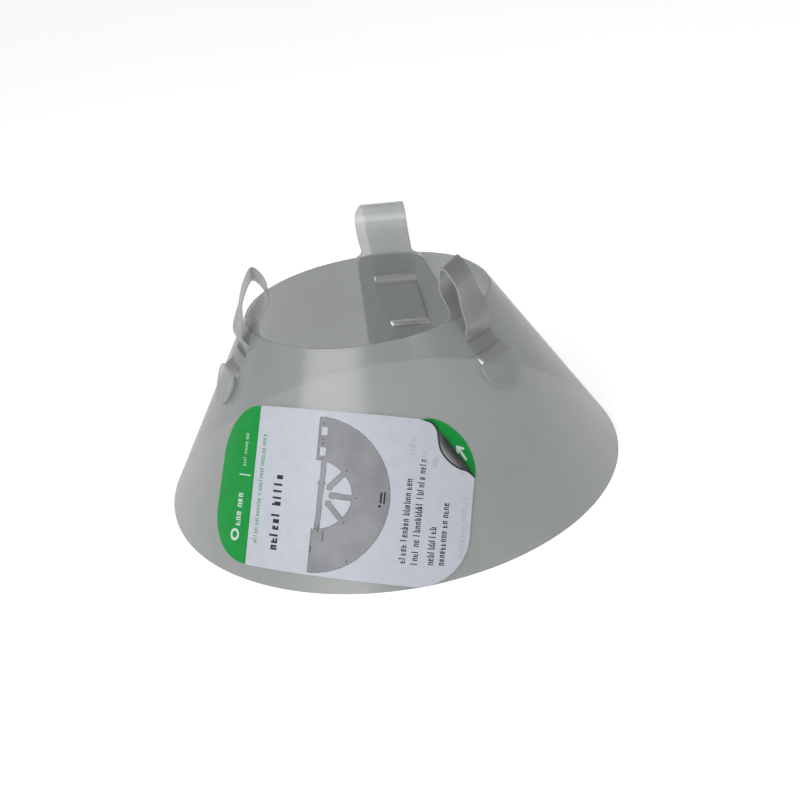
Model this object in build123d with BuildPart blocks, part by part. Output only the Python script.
from build123d import *
import os
from math import atan2, cos, degrees, hypot, radians, sin

# Elizabethan collar: one die-cut sheet rolled into a cone, standing on its wide rim, neck up.
# Frame: origin at the centre of the wide rim, +Z up to the neck, -Y the front, +Y the seam.
# Azimuths are in degrees from the front (-Y) towards +X. "Slant" is the distance down the wall
# from the neck edge, and "lift" is the distance out from the wall's outer surface.

# ---- Cone ----
RIM_RADIUS = 82.5
NECK_RADIUS = 42.8
CONE_HEIGHT = 63.9
SHEET = 0.6

# ---- Seam: the end of the sheet climbs on to the outside of its own beginning ----
SEAM_START = 162.0
RAMP_START = 480.0
RAMP_END = 508.0
SEAM_END = 556.0
SEAM_GAP = 0.3
RAMP_SECTIONS = 7
SEAM_CORNER_RADIUS = 5.0

# ---- Short tabs: root, loop, two slots and a round head ----
LEFT_TAB_AZIMUTH = -60.0
RIGHT_TAB_AZIMUTH = 60.0
TAB_WIDTH = 12.7
TAB_HEAD_WIDTH = 19.0
TAB_HEAD_SLANTS = (16.4, 27.8)
TAB_SLOT_WIDTH = 14.0
TAB_SLOT_HEIGHT = 4.4
TAB_SLOT_SLANTS = (6.6, 14.8)
TAB_PATH = ((4.5, 1.5), (8.0, -1.7), (12.4, -1.7), (16.2, 0.55), (27.8, 0.55))
TAB_BEND_RADIUS = 2.0
TAB_HEAD_CORNER = 5.0

# ---- Long locking strap at the seam: root, loop, window, exit slot and round tail ----
STRAP_AZIMUTH = 180.0
STRAP_ROOT_WIDTH = 19.5
STRAP_WIDTH = 16.2
STRAP_SLOT_WIDTH = 17.6
STRAP_SLOT_HEIGHT = 5.2
STRAP_SLOT_SLANTS = (15.2, 46.0)
STRAP_PATH = ((11.4, 3.0), (17.0, -1.8), (43.4, -1.8), (48.2, 1.5), (66.0, 1.5))
STRAP_BEND_RADIUS = 3.0
STRAP_END_SLANT = STRAP_PATH[-1][0]
SLOT_CORNER_RADIUS = 1.0

# ---- Loops, as (outwards, upwards) from the neck edge: innermost, top and outermost points ----
HINGE_GAP = 0.4
LEFT_LOOP = ((-9.0, 11.0), (-4.8, 18.5), (0.0, 12.5))
RIGHT_LOOP = ((-7.0, 10.0), (-4.5, 16.5), (0.4, 11.5))
STRAP_LOOP = ((-4.0, 11.0), (0.5, 20.5), (5.5, 12.0))
TAB_LOOP_END = (3.4, 2.6)
STRAP_LOOP_END = (10.2, 4.3)
TAB_LOOP_END_DIRECTION = (0.35, -0.94)
STRAP_LOOP_END_DIRECTION = (0.19, -0.98)

# ---- Two-ply peel-and-read label, 3.5 in by 2 in ----
LABEL_WIDTH = 88.9
LABEL_HEIGHT = 50.8
LABEL_CORNER = 16.5
LABEL_AZIMUTH = -5.0
LABEL_SLANT = 44.7
LABEL_TILT = -4.9
BAND_WIDTH = 16.7
BASE_PLY_LIFTS = (0.03, 0.18)
LEAF_LIFTS = (0.36, 0.51)
PEEL_CUT = 14.0
LABEL_SWEEP = 60.0
RUN_POINTS = 7

# ---- Worked out from the above ----
HALF_ANGLE = atan2(RIM_RADIUS - NECK_RADIUS, CONE_HEIGHT)
WALL_SLANT = hypot(RIM_RADIUS - NECK_RADIUS, CONE_HEIGHT)
NECK_SLANT = NECK_RADIUS / sin(HALF_ANGLE)
SHEET_ACROSS = SHEET / cos(HALF_ANGLE)
FLAP_ACROSS = (SEAM_GAP + SHEET) / cos(HALF_ANGLE)
UP_THE_WALL = (-sin(HALF_ANGLE), cos(HALF_ANGLE))
WALL_CUT = 4.0
THREADED_CUT = 8.0

os.makedirs("parts", exist_ok=True)


def wall_point(slant, lift):
    """Radius and height of a point on a wall section."""
    radius = NECK_RADIUS + slant * sin(HALF_ANGLE) + lift * cos(HALF_ANGLE)
    height = CONE_HEIGHT - slant * cos(HALF_ANGLE) + lift * sin(HALF_ANGLE)
    return (radius, height)


def section_plane(azimuth):
    """Upright half-plane through the cone's axis: local X outwards, local Y up."""
    turn = radians(azimuth)
    return Plane(origin=(0, 0, 0), x_dir=(sin(turn), -cos(turn), 0), z_dir=(-cos(turn), -sin(turn), 0))


def wall_plane(azimuth, slant):
    """Plane that touches the wall: local X around the cone, local Y up the slant, local Z outwards."""
    turn = radians(azimuth)
    radius, height = wall_point(slant, 0)
    outwards = (cos(HALF_ANGLE) * sin(turn), -cos(HALF_ANGLE) * cos(turn), sin(HALF_ANGLE))
    return Plane(
        origin=(radius * sin(turn), -radius * cos(turn), height),
        x_dir=(cos(turn), sin(turn), 0),
        z_dir=outwards,
    )


def wall_section(progress):
    """Corners of the sheet's section, from on the cone (0) to lying on the seam's outside (1)."""
    foot = RIM_RADIUS + progress * FLAP_ACROSS
    neck = NECK_RADIUS + progress * FLAP_ACROSS
    return [
        (foot, 0),
        (neck, CONE_HEIGHT),
        (neck - SHEET_ACROSS, CONE_HEIGHT),
        (foot - SHEET_ACROSS, 0),
    ]


def neck_offset_point(outwards, upwards):
    """Radius and height of a point given from the middle of the neck edge."""
    return (NECK_RADIUS - SHEET_ACROSS / 2 + outwards, CONE_HEIGHT + upwards)


def smooth(fraction):
    """Ease from 0 to 1 with level ends."""
    return fraction * fraction * (3 - 2 * fraction)


def corner_waste(reach, fall):
    """Sketch what a rounded sheet corner loses; the corner is at the origin, the sheet on the +X side."""
    with Locations((0, 0)):
        Rectangle(2 * SEAM_CORNER_RADIUS, 2 * SEAM_CORNER_RADIUS)
    with Locations((reach * SEAM_CORNER_RADIUS, fall * SEAM_CORNER_RADIUS)):
        Circle(SEAM_CORNER_RADIUS, mode=Mode.SUBTRACT)


# ---- Collar sheet: cone wall, climbing ramp and seam flap ----
with BuildPart() as collar_sheet:
    with BuildSketch(section_plane(SEAM_START)):
        Polygon(*wall_section(0), align=None)
    revolve(axis=Axis.Z, revolution_arc=RAMP_START - SEAM_START)
    for slant, fall in ((0, -1), (WALL_SLANT, 1)):
        with BuildSketch(wall_plane(SEAM_START, slant)):
            corner_waste(1, fall)
        extrude(amount=WALL_CUT, both=True, mode=Mode.SUBTRACT)
    for step in range(RAMP_SECTIONS):
        ramp_fraction = step / (RAMP_SECTIONS - 1)
        ramp_azimuth = RAMP_START + ramp_fraction * (RAMP_END - RAMP_START)
        with BuildSketch(section_plane(ramp_azimuth)):
            Polygon(*wall_section(smooth(ramp_fraction)), align=None)
    loft()
    with BuildSketch(section_plane(RAMP_END)):
        Polygon(*wall_section(1), align=None)
    revolve(axis=Axis.Z, revolution_arc=SEAM_END - RAMP_END)
    for slant, fall in ((0, -1), (WALL_SLANT, 1)):
        with BuildSketch(wall_plane(SEAM_END, slant).offset(SEAM_GAP / 2)):
            corner_waste(-1, fall)
        extrude(amount=WALL_CUT, mode=Mode.SUBTRACT)
    for azimuth in (LEFT_TAB_AZIMUTH, RIGHT_TAB_AZIMUTH):
        for slant in TAB_SLOT_SLANTS:
            with BuildSketch(wall_plane(azimuth, slant)):
                RectangleRounded(TAB_SLOT_WIDTH, TAB_SLOT_HEIGHT, SLOT_CORNER_RADIUS)
            extrude(amount=WALL_CUT, both=True, mode=Mode.SUBTRACT)
    for slant in STRAP_SLOT_SLANTS:
        with BuildSketch(wall_plane(STRAP_AZIMUTH, slant)):
            RectangleRounded(STRAP_SLOT_WIDTH, STRAP_SLOT_HEIGHT, SLOT_CORNER_RADIUS)
        extrude(amount=WALL_CUT, both=True, mode=Mode.SUBTRACT)


def loop_points(shape, end):
    """Centre line of a loop: from just above the neck edge, over the top, to just above its slot."""
    start = neck_offset_point(-HINGE_GAP * sin(HALF_ANGLE), HINGE_GAP * cos(HALF_ANGLE))
    return [start] + [neck_offset_point(*point) for point in shape] + [wall_point(*end)]


def make_tab_loop(azimuth, shape):
    """Loop of a short tab, one width all the way."""
    with BuildPart() as loop:
        with BuildSketch(section_plane(azimuth)):
            with BuildLine():
                Spline(
                    *loop_points(shape, TAB_LOOP_END),
                    tangents=[UP_THE_WALL, TAB_LOOP_END_DIRECTION],
                )
            trace(line_width=SHEET)
        extrude(amount=TAB_WIDTH / 2, both=True)
    return loop


def make_tab_head(azimuth):
    """Threaded end of a short tab: in through the first slot, out through the second, then the head."""
    with BuildPart() as head:
        with BuildSketch(section_plane(azimuth)):
            with BuildLine():
                FilletPolyline(*[wall_point(*point) for point in TAB_PATH], radius=TAB_BEND_RADIUS)
            trace(line_width=SHEET)
        extrude(amount=TAB_HEAD_WIDTH / 2, both=True)
        head_top, head_bottom = TAB_HEAD_SLANTS
        with BuildSketch(wall_plane(azimuth, head_top)):
            Rectangle(TAB_WIDTH, 2 * head_top)
            with Locations((0, (head_top - head_bottom) / 2)):
                RectangleRounded(TAB_HEAD_WIDTH, head_bottom - head_top, TAB_HEAD_CORNER)
        extrude(amount=THREADED_CUT, both=True, mode=Mode.INTERSECT)
    return head


left_loop = make_tab_loop(LEFT_TAB_AZIMUTH, LEFT_LOOP)
right_loop = make_tab_loop(RIGHT_TAB_AZIMUTH, RIGHT_LOOP)
left_tab_head = make_tab_head(LEFT_TAB_AZIMUTH)
right_tab_head = make_tab_head(RIGHT_TAB_AZIMUTH)

# ---- Loop of the locking strap: wide up to the top, narrower on the way down ----
with BuildPart() as strap_loop:
    strap_points = loop_points(STRAP_LOOP, STRAP_LOOP_END)
    with BuildSketch(section_plane(STRAP_AZIMUTH)) as strap_up:
        with BuildLine():
            Spline(*strap_points[:3], tangents=[UP_THE_WALL, (1, 0)])
        trace(line_width=SHEET)
    extrude(amount=STRAP_ROOT_WIDTH / 2, both=True)
    with BuildSketch(section_plane(STRAP_AZIMUTH)) as strap_down:
        with BuildLine():
            Spline(*strap_points[2:], tangents=[(1, 0), STRAP_LOOP_END_DIRECTION])
        trace(line_width=SHEET)
    extrude(amount=STRAP_WIDTH / 2, both=True)

# ---- Tail of the locking strap: in at the window, down inside the seam, out at the slot ----
with BuildPart() as strap_tail:
    with BuildSketch(section_plane(STRAP_AZIMUTH)):
        with BuildLine():
            FilletPolyline(*[wall_point(*point) for point in STRAP_PATH], radius=STRAP_BEND_RADIUS)
        trace(line_width=SHEET)
    extrude(amount=STRAP_WIDTH / 2, both=True)
    with BuildSketch(wall_plane(STRAP_AZIMUTH, STRAP_END_SLANT)):
        SlotCenterToCenter(2 * STRAP_END_SLANT, STRAP_WIDTH, rotation=90)
        with Locations((0, STRAP_END_SLANT / 2 + STRAP_WIDTH / 2)):
            Rectangle(STRAP_WIDTH, STRAP_END_SLANT)
    extrude(amount=THREADED_CUT, both=True, mode=Mode.INTERSECT)


def label_point(across, up):
    """Point of the flat label, rolled on to the cone and seen in the plane that touches its middle."""
    tilt = radians(LABEL_TILT)
    flat_x = across * cos(tilt) - up * sin(tilt)
    flat_y = NECK_SLANT + LABEL_SLANT - across * sin(tilt) - up * cos(tilt)
    turn = radians(LABEL_AZIMUTH) + atan2(flat_x, flat_y) / sin(HALF_ANGLE)
    radius, height = wall_point(hypot(flat_x, flat_y) - NECK_SLANT, 0)
    local = label_plane.to_local_coords(Vector(radius * sin(turn), -radius * cos(turn), height))
    return (local.X, local.Y)


def straight_run(start, end):
    """Evenly spaced label points along a straight edge."""
    run = (end[0] - start[0], end[1] - start[1])
    fractions = [step / (RUN_POINTS - 1) for step in range(RUN_POINTS)]
    return [label_point(start[0] + run[0] * f, start[1] + run[1] * f) for f in fractions]


def corner_run(centre, start_angle):
    """Evenly spaced label points round a quarter-circle corner, anticlockwise."""
    angles = [radians(start_angle + 90 * step / (RUN_POINTS - 1)) for step in range(RUN_POINTS)]
    return [
        label_point(centre[0] + LABEL_CORNER * cos(a), centre[1] + LABEL_CORNER * sin(a)) for a in angles
    ]


def make_ply(lifts, runs):
    """One label ply: a thin layer of the cone, cut to an outline made of runs of points."""
    with BuildPart() as ply:
        with BuildSketch(section_plane(LABEL_AZIMUTH - LABEL_SWEEP)):
            Polygon(
                wall_point(0, lifts[0]),
                wall_point(0, lifts[1]),
                wall_point(WALL_SLANT, lifts[1]),
                wall_point(WALL_SLANT, lifts[0]),
                align=None,
            )
        revolve(axis=Axis.Z, revolution_arc=2 * LABEL_SWEEP)
        with BuildSketch(label_plane):
            with BuildLine():
                for run in runs:
                    Spline(*run)
            make_face()
        extrude(amount=RIM_RADIUS / 2, both=True, mode=Mode.INTERSECT)
    return ply


label_plane = wall_plane(LABEL_AZIMUTH, LABEL_SLANT)
half_width = LABEL_WIDTH / 2
half_height = LABEL_HEIGHT / 2
corner_x = half_width - LABEL_CORNER
corner_y = half_height - LABEL_CORNER
fold_x = BAND_WIDTH - half_width

# ---- Label base: stuck to the wall, rounded at all four corners ----
label_base = make_ply(
    BASE_PLY_LIFTS,
    [
        straight_run((-corner_x, -half_height), (corner_x, -half_height)),
        corner_run((corner_x, -corner_y), -90),
        straight_run((half_width, -corner_y), (half_width, corner_y)),
        corner_run((corner_x, corner_y), 0),
        straight_run((corner_x, half_height), (-corner_x, half_height)),
        corner_run((-corner_x, corner_y), 90),
        straight_run((-half_width, corner_y), (-half_width, -corner_y)),
        corner_run((-corner_x, -corner_y), 180),
    ],
)

# ---- Label leaf: from the band's fold to the right, with its upper right corner cut off to grip ----
label_leaf = make_ply(
    LEAF_LIFTS,
    [
        straight_run((fold_x, -half_height), (corner_x, -half_height)),
        corner_run((corner_x, -corner_y), -90),
        straight_run((half_width, -corner_y), (half_width, half_height - PEEL_CUT)),
        straight_run((half_width, half_height - PEEL_CUT), (half_width - PEEL_CUT, half_height)),
        straight_run((half_width - PEEL_CUT, half_height), (fold_x, half_height)),
        straight_run((fold_x, half_height), (fold_x, -half_height)),
    ],
)

# ---- Export: one file per node ----
nodes = {
    "collar_sheet": collar_sheet,
    "left_loop": left_loop,
    "right_loop": right_loop,
    "strap_loop": strap_loop,
    "left_tab_head": left_tab_head,
    "right_tab_head": right_tab_head,
    "strap_tail": strap_tail,
    "label_base": label_base,
    "label_leaf": label_leaf,
}
for name, node in nodes.items():
    node.part.label = name
    export_step(node.part, f"parts/{name}.step")
